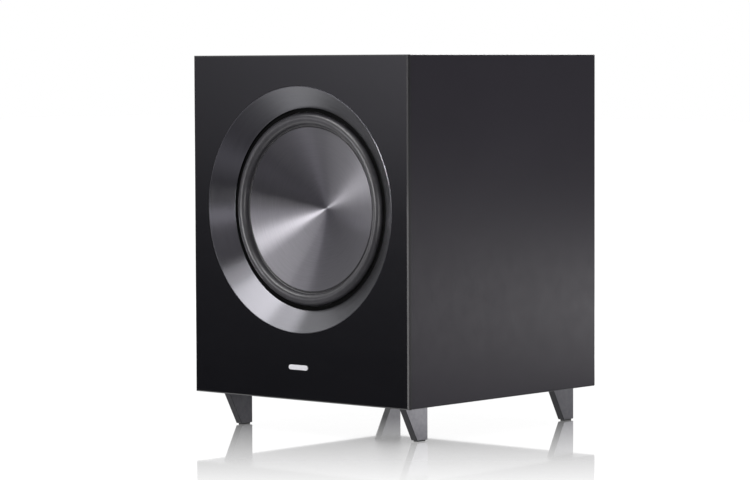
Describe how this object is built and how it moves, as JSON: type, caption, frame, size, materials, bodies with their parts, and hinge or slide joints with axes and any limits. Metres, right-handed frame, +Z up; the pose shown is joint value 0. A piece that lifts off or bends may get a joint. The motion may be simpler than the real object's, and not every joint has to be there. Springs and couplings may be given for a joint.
{
  "type": "subwoofer",
  "caption": "Free-standing active subwoofer: black cube cabinet on raked fin feet, front metal dish driver in a dished trim ring, rear reflex port and plate amplifier.",
  "frame": {"origin": "on the floor, under the middle of the whole part's box", "axes": "+Z up, -Y out of the front panel, +X to the right seen from the front"},
  "size_m": [0.292, 0.3152, 0.3867],
  "materials": {
    "cabinet_vinyl": "fine-grained black vinyl on fibreboard",
    "raw_board": "raw fibreboard",
    "black_board": "fibreboard painted matt black",
    "gloss_panel": "polished black",
    "ring_metal": "dark, circular brushing",
    "badge_metal": "satin",
    "dish_metal": "spun, circular brushing",
    "edge_rubber": "satin",
    "foam": "closed-cell foam",
    "pressed_steel": "black, semi-matt",
    "zinc_steel": "zinc plated",
    "black_screw": "black oxide",
    "spider_cloth": "resin-stiffened weave",
    "former": "foil",
    "copper": "enamelled copper",
    "ferrite": "ground ferrite",
    "phenolic": "phenolic board",
    "tinned": "tinned brass",
    "braid": "copper braid",
    "wire_pvc": "soft insulation",
    "port_plastic": "moulded, fine texture",
    "plate_paint": "fine powder coat",
    "heat_sink_black": "black anodised",
    "knob_plastic": "moulded",
    "pot_metal": "plated",
    "switch_plastic": "moulded",
    "rocker_plastic": "moulded",
    "nickel": "nickel",
    "lens": "tinted lens",
    "circuit_board": "solder-masked laminate",
    "device_epoxy": "moulded epoxy",
    "can_sleeve": "sleeved can",
    "core_steel": "varnished laminations",
    "foot_metal": "satin, fine-grained",
    "pad_rubber": "soft"
  },
  "bodies": {
    "cabinet": {"top_board": "cabinet_vinyl", "bottom_board": "cabinet_vinyl", "left_board": "cabinet_vinyl", "right_board": "cabinet_vinyl", "front_panel": "gloss_panel", "outer_baffle": "raw_board", "inner_baffle": "raw_board", "rear_board": "black_board", "window_brace": "raw_board", "trim_ring": "ring_metal", "badge_bar": "badge_metal", "surround": "edge_rubber", "driver_basket": "pressed_steel", "driver_seal": "foam", "driver_screws": "black_screw", "spider": "spider_cloth", "front_plate": "zinc_steel", "magnet": "ferrite", "yoke": "zinc_steel", "terminal_strip": "phenolic", "terminal_tabs": "tinned", "tinsel_leads": "braid", "speaker_lead": "wire_pvc", "port_tube": "port_plastic", "amp_plate": "plate_paint", "amp_gasket": "foam", "amp_cover": "zinc_steel", "amp_plate_screws": "black_screw", "cover_screws": "black_screw", "heat_sink": "heat_sink_black", "level_potentiometer": "pot_metal", "crossover_potentiometer": "pot_metal", "phase_switch_body": "switch_plastic", "power_switch_body": "switch_plastic", "mains_inlet": "switch_plastic", "mains_inlet_pins": "nickel", "input_jack_block": "switch_plastic", "input_jack_sleeves": "nickel", "status_light": "lens", "control_board": "circuit_board", "amplifier_board": "circuit_board", "output_transistors": "device_epoxy", "reservoir_capacitors": "can_sleeve", "transformer_core": "core_steel", "transformer_coil": "copper", "front_left_foot": "foot_metal", "front_right_foot": "foot_metal", "rear_left_foot": "foot_metal", "rear_right_foot": "foot_metal", "foot_pads": "pad_rubber", "foot_screws": "black_screw"},
    "cone": {"diaphragm": "dish_metal", "voice_coil_former": "former", "voice_coil": "copper"},
    "level_control": {"level_shaft": "pot_metal", "level_knob": "knob_plastic"},
    "crossover_control": {"crossover_shaft": "pot_metal", "crossover_knob": "knob_plastic"},
    "phase_selector": {"phase_slider": "switch_plastic"},
    "rocker": {"power_rocker": "rocker_plastic"}
  },
  "joints": [
    {"name": "cone_travel", "type": "slide", "parent": "cabinet", "child": "cone", "axis": [0, -1, 0], "range_m": [-0.007, 0.007], "stiffness_N_per_m": 2000, "deforming": ["surround", "spider", "tinsel_leads"]},
    {"name": "level_turn", "type": "hinge", "parent": "cabinet", "child": "level_control", "pos_m": [0.045, 0.1516, 0.1727], "axis": [0, 1, 0], "range_deg": [-150, 150]},
    {"name": "crossover_turn", "type": "hinge", "parent": "cabinet", "child": "crossover_control", "pos_m": [0, 0.1516, 0.1727], "axis": [0, 1, 0], "range_deg": [-150, 150]},
    {"name": "phase_slide", "type": "slide", "parent": "cabinet", "child": "phase_selector", "axis": [-1, 0, 0], "range_m": [0, 0.005]},
    {"name": "power_rock", "type": "hinge", "parent": "cabinet", "child": "rocker", "pos_m": [0.04, 0.1438, 0.0917], "axis": [1, 0, 0], "range_deg": [0, 16]}
  ]
}
